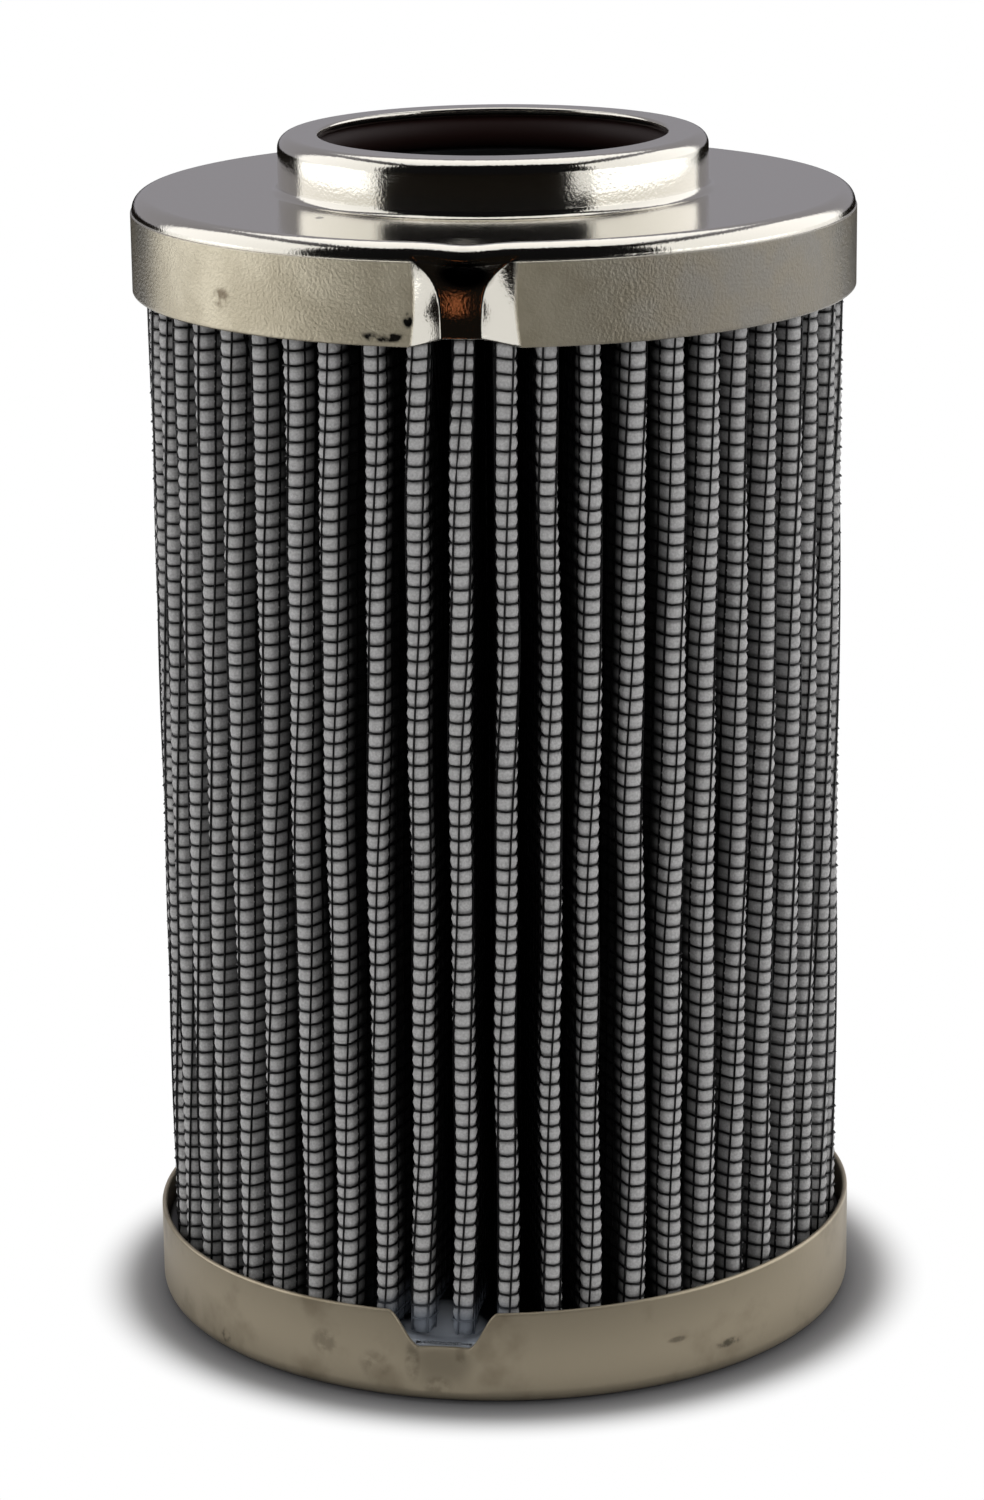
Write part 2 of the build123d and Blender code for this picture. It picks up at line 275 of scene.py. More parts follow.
coated, coated_shader = new_material("epoxy-coated woven steel wire", "#0c0c0d", 0.4)
coarse = columns_at([-1, -0.9, -0.25, -0.17, -0.08, 0, 0.08, 0.17, 0.25, 0.9])
levels = np.concatenate([np.linspace(pack_low, 14 * mm, 6), np.linspace(22 * mm, 92 * mm, 8),
                         np.linspace(97 * mm, pack_high, 15)])
inner_outside = pack_point(coarse[None], levels[:, None], media_depth)
inner_inside = pack_point(coarse[None], levels[::-1, None], inner_depth)
inner_mesh = surface("inner_mesh_cloth", np.concatenate([inner_outside, inner_inside]))
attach(inner_mesh, "root")
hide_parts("inner_mesh")
coat(inner_mesh, coated)

# Filter media: glass-fibre fleece between thin spun covers, warm grey. It swells a
# little through each opening of the mesh that lies on it, so it is a field of pillows.
wire_step_up = 1.41 * mm
wire_step_along = 1.6 * mm
wire_drift = 0.041
pillow = 0.2 * mm
fine = columns_at(np.concatenate([[-1, -0.9], np.linspace(-0.25, 0.25, 8), [0.9]]))
media_levels = np.arange(pack_low, pack_high, wire_step_up / 2)


def plain_lengths(columns, heights):
    """Length along the pack at each column, for each height, with the whole round last.

    It is taken on the path without depth, so that wires and cells agree at every dent.
    """
    points = pack_point(columns[None], 0.5 * (pack_low + pack_high) + 0 * heights[:, None], mesh_depth)
    step = np.linalg.norm(np.roll(points, -1, 1) - points, axis=-1)
    return np.concatenate([np.zeros((len(points), 1)), np.cumsum(step, 1)], 1)


lengths = plain_lengths(fine, media_levels)
wires_around = int(round(lengths[:, -1].mean() / wire_step_along))
cell_along = lengths / lengths[:, -1:] * wires_around
cell_along += wire_drift * (pack_high - media_levels[:, None]) / wire_step_along
cell_up = (media_levels[:, None] - pack_low) / wire_step_up + 0 * cell_along
swell = np.abs(np.sin(np.pi * cell_along[:, :-1])) ** 0.7 * np.abs(np.sin(np.pi * cell_up[:, :-1]))
bulged = pack_point(fine[None], media_levels[:, None], mesh_depth - pillow * swell)
inside_levels = levels[::-2, None]
media_inside = pack_point(fine[None], inside_levels, media_depth)
into_fold = (np.abs(2 * (fine % 1) - 1) - 0.25) / 0.65
rows_up = (media_levels[:, None] - pack_low) / wire_step_up
fold_uv = np.stack(np.broadcast_arrays(np.append(into_fold, into_fold[0])[None], rows_up), -1)
media_uv = np.concatenate([fold_uv, np.repeat(fold_uv[-1:], len(inside_levels) + 1, 0)])
media = surface("pleated_media", np.concatenate([bulged, media_inside]), uv=media_uv)
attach(media, "root")
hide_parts("filter_media")


def blended(tree, share, first, second):
    """Colour socket between two colours, each a value or a socket, by a share from 0 to 1."""
    return add_node(tree, "ShaderNodeMix", {0: share, 6: first, 7: second}, data_type="RGBA").outputs[2]


def ramped(tree, value, low, high):
    """Share that goes smoothly from 0 at the low value to 1 at the high one."""
    return add_node(tree, "ShaderNodeMapRange", {
        "Value": value, "From Min": low, "From Max": high,
    }, interpolation_type="SMOOTHSTEP").outputs["Result"]


def notch_share(tree, where, wide, narrow):
    """Share that is 1 in front within the narrow half width of the lower dent, and 0 past the wide one."""
    place = add_node(tree, "ShaderNodeSeparateXYZ", {"Vector": where})
    beside = add_node(tree, "ShaderNodeMath", {0: place.outputs["X"], 1: 6.0 * mm}, operation="ADD").outputs["Value"]
    beside = add_node(tree, "ShaderNodeMath", {0: beside}, operation="ABSOLUTE").outputs["Value"]
    return add_node(tree, "ShaderNodeMath", {
        0: ramped(tree, beside, wide, narrow), 1: ramped(tree, place.outputs["Y"], -24 * mm, -28 * mm),
    }, operation="MULTIPLY").outputs["Value"]


# Fleece: matt, with fibres a few tenths of a millimetre apart that mottle its grey.
# Painted shade darkens it beside the cross wires and down the folds, and it is
# blue-grey where resin soaked in.
fleece, fleece_shader = new_material("spun-covered glass-fibre fleece", "#b4b1ab", 0.9)
tree = fleece.node_tree
where = add_node(tree, "ShaderNodeTexCoord").outputs["Object"]
fibres = add_node(tree, "ShaderNodeTexNoise", {"Vector": where, "Scale": 4500.0, "Detail": 3.0})
fleece_tone = blended(tree, fibres.outputs["Fac"], linear("#828180"), linear("#cfcecd"))
fold_at = add_node(tree, "ShaderNodeTexCoord").outputs["UV"]
fold_place = add_node(tree, "ShaderNodeSeparateXYZ", {"Vector": fold_at})
from_wire = add_node(tree, "ShaderNodeMath", {
    0: fold_place.outputs["Y"], 1: 0.5,
}, operation="PINGPONG").outputs["Value"]
# Painted shade: the grey is taken halfway to black beside each cross wire.
painted_wire_shade = blended(tree, 0.45, linear("#000000"), fleece_tone)
fleece_tone = blended(tree, ramped(tree, from_wire, 0.05, 0.3), painted_wire_shade, fleece_tone)
# Painted shade: the grey turns nearly black from the crest down into each fold.
fleece_tone = blended(tree, ramped(tree, fold_place.outputs["X"], -0.07, 0.2), fleece_tone, linear("#161616"))
height_up = add_node(tree, "ShaderNodeSeparateXYZ", {"Vector": where}).outputs["Z"]
soaked = add_node(tree, "ShaderNodeMath", {
    0: ramped(tree, height_up, 11.0 * mm, 7.5 * mm), 1: notch_share(tree, where, 7.5 * mm, 5.5 * mm),
}, operation="MULTIPLY").outputs["Value"]
fleece_tone = blended(tree, soaked, fleece_tone, linear("#6a7079"))
fleece_bump = add_node(tree, "ShaderNodeBump", {
    "Height": fibres.outputs["Fac"], "Strength": 0.7, "Distance": 0.08 * mm,
})
tree.links.new(fleece_tone, fleece_shader.inputs["Base Color"])
tree.links.new(fleece_bump.outputs["Normal"], fleece_shader.inputs["Normal"])
coat(media, fleece)

# Outer mesh, cross wires: plain-woven steel wire, coated black with epoxy after the
# weaving. Eighteen wires to the inch lie across the pleats.
wire_radius = 0.12 * mm
wire_depth = 0.16 * mm
weave = 0.05 * mm


def wires(name, paths, radius, facing, closed):
    """Three-sided wires along paths of shape (wires, points, 3).

    Round each path point stand three corners, set by the path's direction and by the
    facing vector. A closed path joins its own start, and an open one gets end faces.
    """
    count, points = paths.shape[:2]
    if closed:
        along = np.roll(paths, -1, 1) - np.roll(paths, 1, 1)
    else:
        along = np.gradient(paths, axis=1)
    along /= np.linalg.norm(along, axis=-1, keepdims=True)
    beside = np.cross(along, facing)
    beside /= np.linalg.norm(beside, axis=-1, keepdims=True)
    above = np.cross(beside, along)
    turn = np.arange(3) * 2 * np.pi / 3
    ring = np.cos(turn)[:, None] * above[:, :, None] + np.sin(turn)[:, None] * beside[:, :, None]
    corners = (paths[:, :, None] + radius * ring).reshape(-1, 3)
    wire = np.arange(count)[:, None, None] * points * 3
    point = np.arange(points if closed else points - 1)[None, :, None]
    corner = np.arange(3)[None, None, :]
    after = (point + 1) % points
    turned_on = (corner + 1) % 3
    faces = np.stack([
        wire + point * 3 + corner,
        wire + point * 3 + turned_on,
        wire + after * 3 + turned_on,
        wire + after * 3 + corner,
    ], -1).reshape(-1, 4)
    ends = np.zeros((0, 3), int)
    if not closed:
        start = np.arange(count)[:, None] * points * 3
        ends = np.concatenate([start + [2, 1, 0], start + (points - 1) * 3 + [0, 1, 2]])
    mesh = bpy.data.meshes.new(name)
    mesh.vertices.add(len(corners))
    mesh.vertices.foreach_set("co", corners.astype(np.float32).ravel())
    mesh.loops.add(faces.size + ends.size)
    mesh.loops.foreach_set("vertex_index", np.concatenate([faces.ravel(), ends.ravel()]).astype(np.int32))
    mesh.polygons.add(len(faces) + len(ends))
    starts = np.concatenate([np.arange(len(faces)) * 4, faces.size + np.arange(len(ends)) * 3])
    mesh.polygons.foreach_set("loop_start", starts.astype(np.int32))
    mesh.update(calc_edges=True)
    mesh.validate()
    mesh.shade_smooth()
    piece = bpy.data.objects.new(name, mesh)
    bpy.context.scene.collection.objects.link(piece)
    return piece


# Coated wire: black and satin, and veiled with blue-grey resin at the pack's lower end
tree = coated.node_tree
where = add_node(tree, "ShaderNodeTexCoord").outputs["Object"]
height_up = add_node(tree, "ShaderNodeSeparateXYZ", {"Vector": where}).outputs["Z"]
veiled = add_node(tree, "ShaderNodeMath", {
    0: ramped(tree, height_up, 10.0 * mm, 7.5 * mm), 1: notch_share(tree, where, 7.5 * mm, 5.5 * mm),
}, operation="MULTIPLY").outputs["Value"]
wire_tone = blended(tree, veiled, linear("#0c0c0d"), linear("#5f656e"))
tree.links.new(wire_tone, coated_shader.inputs["Base Color"])

weft_count = int((pack_high - pack_low) / wire_step_up)
weft_levels = pack_low + np.arange(1, weft_count + 1) * wire_step_up
weft_columns = columns_at([-1, -0.9, -0.25, -0.125, 0, 0.125, 0.25, 0.9])
over_under = np.where((np.arange(len(weft_columns))[None] + np.arange(weft_count)[:, None]) % 2, weave, -weave)
sag = np.repeat(chance.normal(0, 0.05 * mm, (weft_count, pleats)), 8, 1)
weft = pack_point(weft_columns[None], np.minimum(weft_levels[:, None] + sag, pack_high), wire_depth + over_under)
cross_wires = wires("outer_mesh_cross_wires", weft, wire_radius, np.array([0, 0, 1.0]), closed=True)
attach(cross_wires, "root")
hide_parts("outer_mesh")
coat(cross_wires, coated)

# Outer mesh, long wires: sixteen to the inch run up the pleats, and drift a little to
# the side on the way, since the cloth was folded slightly askew. They are drawn
# straight, and the cross wires' weave goes round them.
warp_levels = np.concatenate([[pack_low], weft_levels[:-8:2], weft_levels[-8:], [pack_high]])
guide = columns_at(np.concatenate([[-1, -0.9], np.linspace(-0.25, 0.25, 13), [0.9]]))
guide_lengths = plain_lengths(guide, warp_levels[:1])[0]
guide = np.append(guide, pleats)
wire_number = np.arange(wires_around)
wanted = wire_number[:, None] - wire_drift * (pack_high - warp_levels[None]) / wire_step_along
warp_columns = np.interp(wanted / wires_around * guide_lengths[-1] % guide_lengths[-1], guide_lengths, guide)
warp = pack_point(warp_columns, warp_levels[None], wire_depth)
outward = warp * [1, 1, 0]
outward /= np.linalg.norm(outward, axis=-1, keepdims=True)
long_wires = wires("outer_mesh_long_wires", warp, wire_radius, outward, closed=False)
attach(long_wires, "root")
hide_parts("outer_mesh")
coat(long_wires, coated)

# Seam clip: a folded strip over the pleat in which the pack's two ends meet
coat(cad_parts["seam_clip"], zinc)

# End resin: pale blue-grey polyurethane poured into both caps, in which the pack's ends
# stand. In the lower cap it creeps up the crests, and shows where the rim is pressed down.
resin, resin_shader = new_material("poured polyurethane resin", "#9297a1", 0.35)
tree = resin.node_tree
where = add_node(tree, "ShaderNodeTexCoord").outputs["Object"]
flat = add_node(tree, "ShaderNodeVectorMath", {0: where, 1: (1, 1, 0)}, operation="MULTIPLY").outputs["Vector"]
off_axis = add_node(tree, "ShaderNodeVectorMath", {0: flat}, operation="LENGTH").outputs["Value"]
# Painted shade: the resin is painted near black, except near its edge inside the lower dent, where it shows pale.
out_of_painted_shade = add_node(tree, "ShaderNodeMath", {
    0: ramped(tree, off_axis, 30.2 * mm, 32.4 * mm), 1: notch_share(tree, where, 7.0 * mm, 4.5 * mm),
}, operation="MULTIPLY").outputs["Value"]
resin_tone = blended(tree, out_of_painted_shade, linear("#0c0c0d"), linear("#9ba1aa"))
tree.links.new(resin_tone, resin_shader.inputs["Base Color"])
coat(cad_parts["top_potting"], resin)


def arc(across, up, radius, start, end, count=7):
    """Points round a corner: centre plus radius times cosine and sine, start to end in degrees."""
    turn = np.radians(np.linspace(start, end, count))
    return np.stack([across + radius * np.cos(turn), up + radius * np.sin(turn)], -1)


def turns_round(dent):
    """Turns for a grid that meets a dent: even all round, and much closer across the dent."""
    half = 1.2 * dent["half"] / cap_radius
    close = dent["centre"] + np.linspace(-half, half, 91)
    even = np.linspace(-np.pi, np.pi, 320, endpoint=False)
    apart = even[np.abs(even - dent["centre"]) > half + 0.008]
    return np.sort(np.concatenate([apart, close]))


resin_turns = turns_round(bottom_dent)
resin_profile = mm * np.concatenate([
    np.linspace((34.5, 1.6), (34.5, 6.3), 12),
    np.linspace((34.3, 6.5), (29.0, 6.5), 24),
    np.linspace((27.0, 6.5), (19.8, 6.5), 5),
    np.linspace((19.8, 0.6), (33.4, 0.6), 5),
])
resin_radius = resin_profile[:, None, 0] + 0 * resin_turns
resin_height = resin_profile[:, None, 1] + 0 * resin_turns
resin_inside = dent_depth(resin_turns[None], np.minimum(1.8 * resin_height, rim_height), **bottom_dent)
in_notch = dent_depth(resin_turns[None], rim_height + 0 * resin_height, **bottom_dent) / bottom_dent["reach"]
resin_radius = np.minimum(resin_radius, 34.45 * mm - 1.05 * resin_inside)
uphill = np.clip((32.2 * mm - resin_radius) / (1.8 * mm), 0, 1)
on_top = (resin_profile[:, 1] > 6.2 * mm)[:, None]
resin_height = resin_height + on_top * in_notch * (3.2 * uphill * (3 - 2 * uphill) * uphill - 0.8) * mm
resin_points = np.stack([resin_radius * np.cos(resin_turns), resin_radius * np.sin(resin_turns), resin_height], -1)
lower_resin = surface("lower_resin", resin_points)
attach(lower_resin, "root")
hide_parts("bottom_potting")
coat(lower_resin, resin)

# Retainer: moulded black nylon ring that backs the seal, clipped over the tube's end
nylon, _ = new_material("moulded black nylon", "#141415", 0.45)
coat(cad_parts["seal_retainer"], nylon)

# Seal: a moulded O-ring of dark brown fluorocarbon rubber under the collar's lip
rubber, rubber_shader = new_material("moulded fluorocarbon rubber", "#1f0f0d", 0.62)
rubber_shader.inputs["Specular IOR Level"].default_value = 0.3
coat(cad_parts["o_ring"], rubber)


# Top cap: bright tin-plated steel, drawn to a flat plate with a rim and a collar that
# holds the seal. One dent is pressed into its rim to grip the pack.


def pressed_cap(profile, dent, draw, flat, sink, askew):
    """Grid of a cap with its dent, from a profile of radius and height carried round the axis.

    Points of the rim move in by the dent's depth. Its edge moves along the axis by the
    draw, wholly within the flat half width and as a smooth step outside it, and tips
    towards -X by the part named askew. The bend beside the dent's root sinks, most at
    the dent's middle, as a bell curve.
    """
    turns = turns_round(dent)
    weight = np.clip((profile[:, :1] - 33.0 * mm) / (1.0 * mm), 0, 1)
    height = profile[:, 1:] + 0 * turns
    turn = turns + 0 * height
    radius = profile[:, :1] - weight * dent_depth(turn, height, **dent)
    across = np.abs(np.angle(np.exp(1j * (turn - dent["centre"])))) * cap_radius
    full = np.clip((dent["half"] - across) / (dent["half"] - flat), 0, 1)
    full = full * full * (3 - 2 * full)
    down = np.clip((height - dent["root"]) / (dent["edge"] - dent["root"]), 0, 1)
    near_bend = np.clip(1 - np.abs(height - dent["root"]) / (3 * mm), 0, 1) * np.clip(profile[:, :1] / mm - 32, 0, 1)
    height = height + weight * down ** 1.5 * (draw * full + askew * np.cos(turn))
    height = height + near_bend * sink * np.exp(-(across / (2.8 * mm)) ** 2)
    return np.stack([radius * np.cos(turn), radius * np.sin(turn), height], -1)


top_profile = mm * np.concatenate([
    np.linspace((35.0, 102.5), (35.0, 109.9), 44),
    arc(34.85, 109.95, 0.15, 0, 80, 4),
    arc(33.38, 110.22, 1.48, -2, 90, 16),
    np.linspace((33.2, 111.7), (22.0, 111.7), 8),
    arc(21.55, 112.5, 0.8, 270, 180, 9),
    np.linspace((20.75, 112.8), (20.75, 115.6), 4),
    arc(19.45, 115.8, 1.3, 0, 90, 14),
    np.linspace((19.2, 117.1), (17.3, 117.1), 3),
    arc(17.1, 116.85, 0.25, 90, 180, 6),
    np.linspace((16.85, 116.7), (16.85, 116.3), 2),
    np.linspace((17.35, 116.3), (17.35, 116.6), 2),
    arc(19.45, 115.8, 0.8, 90, 0, 6),
    arc(21.55, 112.5, 1.3, 180, 270, 6),
    arc(33.5, 110.2, 1.0, 90, 0, 6),
    np.linspace((34.5, 110.0), (34.5, 102.5), 34),
    arc(34.75, 102.55, 0.25, 180, 360, 7)[1:-1],
])
top_cap = surface("top_cap_pressed", pressed_cap(top_profile, top_dent, 0.25 * mm, 2 * mm, -0.42 * mm, 0.0))
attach(top_cap, "root")
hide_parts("top_cap")


def stained_and_shaded(tree, where, tone, stains_and_shade):
    """Colour socket with stains and patches of painted shade, each a centre, three half sizes, a strength and a
    colour.

    Each fades out towards an ellipsoid round its centre, and noise breaks it up.
    """
    cloud = add_node(tree, "ShaderNodeTexNoise", {"Vector": where, "Scale": 900.0, "Detail": 3.0}).outputs["Fac"]
    broken = ramped(tree, cloud, 0.35, 0.6)
    for centre, size, strength, colour in stains_and_shade:
        away = add_node(tree, "ShaderNodeVectorMath", {
            0: where, 1: Vector(centre) * mm,
        }, operation="SUBTRACT").outputs["Vector"]
        away = add_node(tree, "ShaderNodeVectorMath", {
            0: away, 1: Vector(size) * mm,
        }, operation="DIVIDE").outputs["Vector"]
        away = add_node(tree, "ShaderNodeVectorMath", {0: away}, operation="LENGTH").outputs["Value"]
        share = add_node(tree, "ShaderNodeMath", {
            0: ramped(tree, away, 1.0, 0.4), 1: broken,
        }, operation="MULTIPLY").outputs["Value"]
        share = add_node(tree, "ShaderNodeMath", {0: share, 1: strength}, operation="MULTIPLY").outputs["Value"]
        tone = blended(tree, share, tone, linear(colour))
    return tone


# Tin plate: bright, nearly neutral metal. The plate and the collar are smooth, with a
# faint orange peel. The drawn wall is grainy and duller, but burnished in the dent.
# Painted shade darkens the wall towards +X and at both ends, and the top of the dent's
# channel to near black.
steel, steel_shader = new_material("tin-plated drawn steel", "#d6d3ca", 0.15, 1.0)
tree = steel.node_tree
where = add_node(tree, "ShaderNodeTexCoord").outputs["Object"]
flat = add_node(tree, "ShaderNodeVectorMath", {0: where, 1: (1, 1, 0)}, operation="MULTIPLY").outputs["Vector"]
off_axis = add_node(tree, "ShaderNodeVectorMath", {0: flat}, operation="LENGTH").outputs["Value"]
height_up = add_node(tree, "ShaderNodeSeparateXYZ", {"Vector": where}).outputs["Z"]
wall = add_node(tree, "ShaderNodeMath", {
    0: ramped(tree, off_axis, 34.7 * mm, 34.98 * mm), 1: ramped(tree, height_up, 110.3 * mm, 109.9 * mm),
}, operation="MULTIPLY").outputs["Value"]
peel = add_node(tree, "ShaderNodeTexNoise", {"Vector": where, "Scale": 3400.0, "Detail": 3.0}).outputs["Fac"]
grain = add_node(tree, "ShaderNodeMapRange", {"Value": wall, "To Min": 0.2, "To Max": 1.0}).outputs["Result"]
steel_bump = add_node(tree, "ShaderNodeBump", {"Height": peel, "Strength": grain, "Distance": 0.08 * mm})
dull = add_node(tree, "ShaderNodeMapRange", {"Value": wall, "To Min": 0.11, "To Max": 0.28}).outputs["Result"]
rightward = add_node(tree, "ShaderNodeSeparateXYZ", {"Vector": where}).outputs["X"]
# Painted shade: the wall's colour darkens from just left of the middle towards +X.
wall_tone_with_painted_shade = blended(tree, ramped(tree, rightward, -2 * mm, 20 * mm), linear("#c6bda6"), linear("#726e66"))
wall_cloud = add_node(tree, "ShaderNodeTexNoise", {"Vector": where, "Scale": 240.0, "Detail": 3.0}).outputs["Fac"]
# Painted shade: the wall darkens at both ends, past 30.5 mm to either side of the middle.
from_middle = add_node(tree, "ShaderNodeMath", {0: rightward}, operation="ABSOLUTE").outputs["Value"]
wall_tone_with_painted_shade = blended(tree, ramped(tree, from_middle, 30.5 * mm, 33.5 * mm), wall_tone_with_painted_shade, linear("#6b665c"))
clouded = add_node(tree, "ShaderNodeMath", {
    0: ramped(tree, wall_cloud, 0.65, 0.35), 1: 0.3,
}, operation="MULTIPLY").outputs["Value"]
wall_tone_with_painted_shade = blended(tree, clouded, wall_tone_with_painted_shade, linear("#7d7157"))
steel_tone = blended(tree, wall, linear("#d9d5cb"), wall_tone_with_painted_shade)
steel_tone = stained_and_shaded(tree, where, steel_tone, [
    ((-25.0, -24.4, 105.4), (1.3, 2.0, 1.2), 0.9, "#6b5d47"),
    # A dark band just above the rim's edge, left of the dent.
    ((-10.0, -33.5, 103.2), (2.9, 3.0, 0.6), 1.3, "#14110b"),
    # Painted shade: a dark streak beside the dent's left crease stands in for a small wrinkle.
    ((-7.8, -34.1, 104.8), (0.6, 2.0, 0.9), 1.4, "#0d0b08"),
    ((-16.1, -18.4, 111.7), (0.5, 0.9, 0.6), 1.6, "#0d0b0a"),
])
# Painted shade: within an ellipsoid round the top of the upper dent's channel, the steel is painted near black.
from_painted_channel_shade = add_node(tree, "ShaderNodeVectorMath", {
    0: where, 1: Vector((-2.6, -33.3, 109.2)) * mm,
}, operation="SUBTRACT").outputs["Vector"]
from_painted_channel_shade = add_node(tree, "ShaderNodeVectorMath", {
    0: from_painted_channel_shade, 1: Vector((3.2, 2.0, 2.3)) * mm,
}, operation="DIVIDE").outputs["Vector"]
from_painted_channel_shade = add_node(tree, "ShaderNodeVectorMath", {0: from_painted_channel_shade}, operation="LENGTH").outputs["Value"]
steel_tone = blended(tree, ramped(tree, from_painted_channel_shade, 1.0, 0.6), steel_tone, linear("#0c0a09"))
tree.links.new(steel_bump.outputs["Normal"], steel_shader.inputs["Normal"])
metal_share = add_node(tree, "ShaderNodeMapRange", {"Value": wall, "To Min": 1.0, "To Max": 0.52}).outputs["Result"]
tree.links.new(metal_share, steel_shader.inputs["Metallic"])
tree.links.new(dull, steel_shader.inputs["Roughness"])
tree.links.new(steel_tone, steel_shader.inputs["Base Color"])
coat(top_cap, steel)

# Bottom cap: the same steel, closed, with its centre raised. Its dent is shallower, and
# the press has drawn the rim's edge down there. The rim was cut off a little askew.
bottom_profile = mm * np.concatenate([
    [(0.0, 1.5)],
    np.linspace((2.0, 1.5), (14.9, 1.5), 8),
    np.linspace((16.2, 0.0), (33.2, 0.0), 10),
    arc(33.5, 1.5, 1.5, 270, 360, 14),
    np.linspace((35.0, 1.7), (35.0, 9.1), 36),
    arc(34.75, 9.15, 0.25, 0, 180, 7),
    np.linspace((34.5, 9.1), (34.5, 1.7), 30),
    arc(33.5, 1.5, 1.0, 0, -90, 6),
    np.linspace((33.0, 0.5), (16.6, 0.5), 4),
    np.linspace((15.4, 2.0), (2.0, 2.0), 4),
    [(0.0, 2.0)],
])
bottom_points = pressed_cap(bottom_profile, bottom_dent, -3.8 * mm, 2.4 * mm, 0.0, 0.6 * mm)
bottom_cap = surface("bottom_cap_pressed", bottom_points, wrap=False)
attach(bottom_cap, "root")
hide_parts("bottom_cap")

# Satin tin plate: the lower cap is duller and browner, with faint cloudy stains, and
# painted shade in two upright streaks down its dent's flanks
satin, satin_shader = new_material("satin tin-plated steel", "#b5ab92", 0.34, 0.65)
tree = satin.node_tree
where = add_node(tree, "ShaderNodeTexCoord").outputs["Object"]
clouds = add_node(tree, "ShaderNodeTexNoise", {"Vector": where, "Scale": 160.0, "Detail": 4.0}).outputs["Fac"]
satin_tone = blended(tree, ramped(tree, clouds, 0.25, 0.5), linear("#978b75"), linear("#b1a58e"))
satin_tone = stained_and_shaded(tree, where, satin_tone, [
    ((-27.6, -21.6, 1.9), (1.0, 1.0, 1.0), 0.9, "#3a3226"),
    ((-17.5, -30.3, 4.9), (1.8, 2.0, 1.6), 0.4, "#4e4636"),
    ((-12.6, -32.5, 3.4), (2.0, 2.0, 1.8), 0.35, "#4e4636"),
    # Painted shade: an upright streak down the dent's left flank.
    ((-9.0, -33.7, 4.2), (0.9, 3.0, 2.6), 0.4, "#3c3424"),
    # A darker patch low in the dent's floor.
    ((-6.6, -34.2, 1.8), (1.8, 2.0, 1.2), 0.35, "#463d2c"),
    # Painted shade: an upright streak down the dent's right flank.
    ((-4.4, -34.6, 4.8), (0.7, 2.0, 1.6), 0.35, "#5a4f3a"),
    ((21.6, -27.5, 3.1), (2.2, 2.0, 0.6), 0.8, "#3f3a2e"),
    ((16.5, -30.9, 4.9), (1.3, 2.0, 0.4), 0.6, "#4f493c"),
])
satin_grain = add_node(tree, "ShaderNodeTexNoise", {"Vector": where, "Scale": 1800.0, "Detail": 3.0}).outputs["Fac"]
satin_bump = add_node(tree, "ShaderNodeBump", {
    "Height": satin_grain, "Strength": 0.35, "Distance": 0.03 * mm,
})
tree.links.new(satin_tone, satin_shader.inputs["Base Color"])
tree.links.new(satin_bump.outputs["Normal"], satin_shader.inputs["Normal"])
coat(bottom_cap, satin)

# Floor: white paper, which keeps the element's soft shadow close to it, deepened there
# by a painted shadow round the foot, and burns out to plain white farther off. Mirrored
# in the steel, it is bright at both sides and dark in front and far behind.
floor_mesh = bpy.data.meshes.new("floor")
floor_mesh.from_pydata([(-4, -4, 0), (4, -4, 0), (4, 6, 0), (-4, 6, 0)], [], [(0, 1, 2, 3)])
floor = bpy.data.objects.new("floor", floor_mesh)
bpy.context.scene.collection.objects.link(floor)
paper, paper_shader = new_material("white paper", "#e6e6e6", 0.9)
tree = paper.node_tree
path = add_node(tree, "ShaderNodeLightPath")
spot = add_node(tree, "ShaderNodeTexCoord").outputs["Object"]
reach = add_node(tree, "ShaderNodeVectorMath", {0: spot}, operation="LENGTH").outputs["Value"]
seen = add_node(tree, "ShaderNodeMath", {
    0: path.outputs["Is Camera Ray"], 1: ramped(tree, reach, 0.037, 0.0435),
}, operation="MULTIPLY").outputs["Value"]
bright = add_node(tree, "ShaderNodeMath", {
    0: path.outputs["Is Glossy Ray"], 1: path.outputs["Is Transmission Ray"],
}, operation="MAXIMUM").outputs["Value"]
across_floor = add_node(tree, "ShaderNodeSeparateXYZ", {"Vector": spot})
on_right = add_node(tree, "ShaderNodeMath", {
    0: across_floor.outputs["Y"], 1: 0.8, 2: across_floor.outputs["X"],
}, operation="MULTIPLY_ADD").outputs["Value"]
right_share = ramped(tree, on_right, 0.03, 0.08)
left_share = add_node(tree, "ShaderNodeMath", {
    0: ramped(tree, across_floor.outputs["X"], -0.12, -0.2),
    1: ramped(tree, across_floor.outputs["Y"], -0.34, -0.26),
}, operation="MULTIPLY").outputs["Value"]
lit = add_node(tree, "ShaderNodeMath", {0: left_share, 1: right_share}, operation="MAXIMUM").outputs["Value"]
lit = add_node(tree, "ShaderNodeMath", {
    0: lit, 1: ramped(tree, across_floor.outputs["Y"], 0.5, 0.38),
}, operation="MULTIPLY").outputs["Value"]
mirror_tone = blended(tree, lit, linear("#14110e"), (1, 1, 1, 1))
mirrored = add_node(tree, "ShaderNodeMath", {
    0: bright, 1: ramped(tree, reach, 0.045, 0.06),
}, operation="MULTIPLY").outputs["Value"]
shown = add_node(tree, "ShaderNodeMath", {0: seen, 1: mirrored}, operation="MAXIMUM").outputs["Value"]
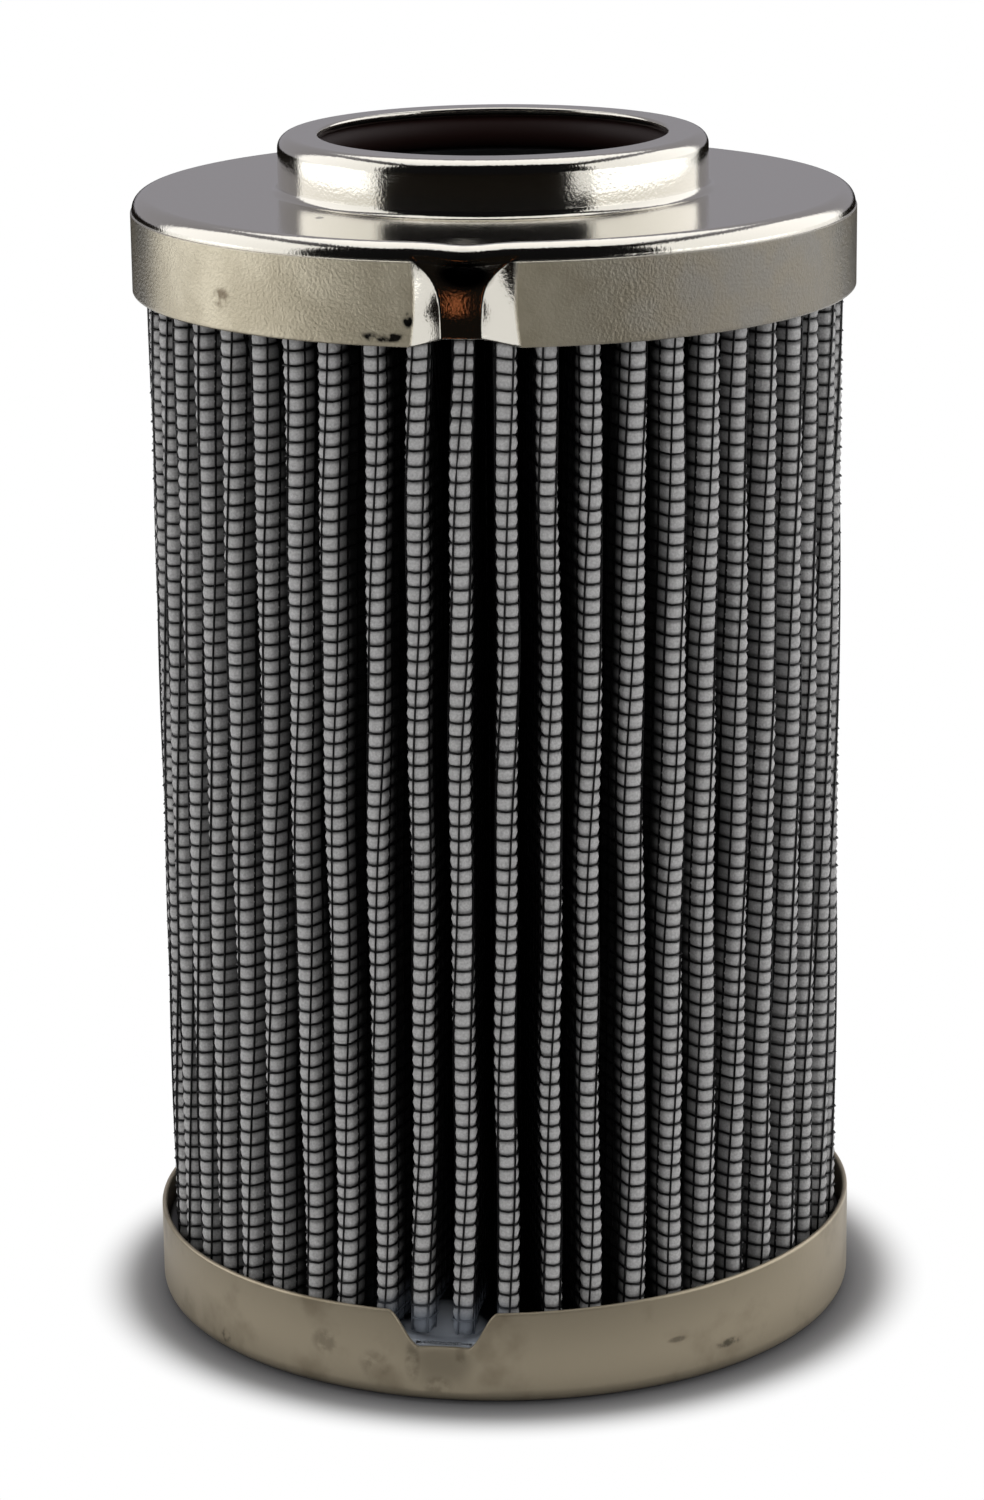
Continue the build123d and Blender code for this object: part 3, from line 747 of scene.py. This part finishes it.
# Painted shadow: the paper's colour darkens to grey within 43 mm of the axis.
painted_foot_shadow = blended(tree, ramped(tree, reach, 0.043, 0.034), linear("#e6e6e6"), linear("#6c6c6e"))
tree.links.new(painted_foot_shadow, paper_shader.inputs["Base Color"])
tone = blended(tree, path.outputs["Is Camera Ray"], mirror_tone, (1, 1, 1, 1))
white = add_node(tree, "ShaderNodeEmission", {"Color": tone, "Strength": 1.0}).outputs["Emission"]
blend = add_node(tree, "ShaderNodeMixShader", {
    "Fac": shown, 1: paper_shader.outputs["BSDF"], 2: white,
}).outputs["Shader"]
tree.links.new(blend, tree.nodes["Material Output"].inputs["Surface"])
floor_mesh.materials.append(paper)


# Orange card: it lies on the floor in front, out of the picture, and shows in the upper
# dent as a small brown patch.
card_mesh = bpy.data.meshes.new("orange_card")
card_mesh.from_pydata([(-0.046, -0.185, 0.001), (-0.038, -0.185, 0.001), (-0.026, -0.12, 0.001),
                       (-0.032, -0.12, 0.001)], [], [(0, 1, 2, 3)])
card = bpy.data.objects.new("orange_card", card_mesh)
bpy.context.scene.collection.objects.link(card)
card.visible_camera = False
card.visible_diffuse = False
print_ink, _ = new_material("orange printed card", "#d67c45", 0.8)
card_mesh.materials.append(print_ink)

# Lights: a low wide soft box at each side and one overhead. The room is dark in front
# and grey behind, which the plate mirrors.


def soft_box(name, place, aim, width, height, radiance, mirrored=True):
    """A rectangular light at a place, turned towards an aim, of one brightness whatever its size."""
    lamp = bpy.data.lights.new(name, "AREA")
    lamp.shape = "RECTANGLE"
    lamp.size = width
    lamp.size_y = height
    lamp.energy = radiance * np.pi * width * height
    holder = bpy.data.objects.new(name, lamp)
    holder.location = place
    holder.rotation_euler = (Vector(aim) - Vector(place)).to_track_quat("-Z", "Y").to_euler()
    holder.visible_camera = False
    holder.visible_glossy = mirrored
    bpy.context.scene.collection.objects.link(holder)


soft_box("left box", (-0.546, 0.03, 0.36), (0, 0, 0.36), 0.66, 0.7, 1.2)
soft_box("right box", (0.54, 0.05, 0.36), (0, 0, 0.36), 1.0, 0.7, 1.2)
soft_box("top box", (0, 0.22, 0.72), (0, 0.22, 0), 0.7, 0.8, 1.15)
soft_box("front fill", (0, -0.9, 0.45), (0, 0, 0.05), 0.6, 0.6, 1.5, mirrored=False)
soft_box("left fill", (-0.62, -0.45, 0.3), (0, 0, 0.05), 0.5, 0.6, 1.3, mirrored=False)
soft_box("right fill", (0.66, -0.4, 0.3), (0, 0, 0.05), 0.5, 0.6, 1.3, mirrored=False)

world = bpy.data.worlds.new("room")
bpy.context.scene.world = world
world.use_nodes = True
tree = world.node_tree
facing = add_node(tree, "ShaderNodeTexCoord").outputs["Generated"]
depth_way = add_node(tree, "ShaderNodeSeparateXYZ", {"Vector": facing}).outputs["Y"]
behind = add_node(tree, "ShaderNodeMapRange", {
    "Value": depth_way, "From Min": -0.3, "From Max": 0.7, "To Min": 0.006, "To Max": 0.34,
}).outputs["Result"]
by_camera = add_node(tree, "ShaderNodeLightPath").outputs["Is Camera Ray"]
strength = add_node(tree, "ShaderNodeMix", {0: by_camera, 2: behind, 3: 1.0}).outputs[0]
tree.links.new(strength, tree.nodes["Background"].inputs["Strength"])
air = blended(tree, by_camera, (0.93, 0.91, 1.0, 1), (1, 1, 1, 1))
tree.links.new(air, tree.nodes["Background"].inputs["Color"])
bpy.context.scene.view_settings.view_transform = "Standard"
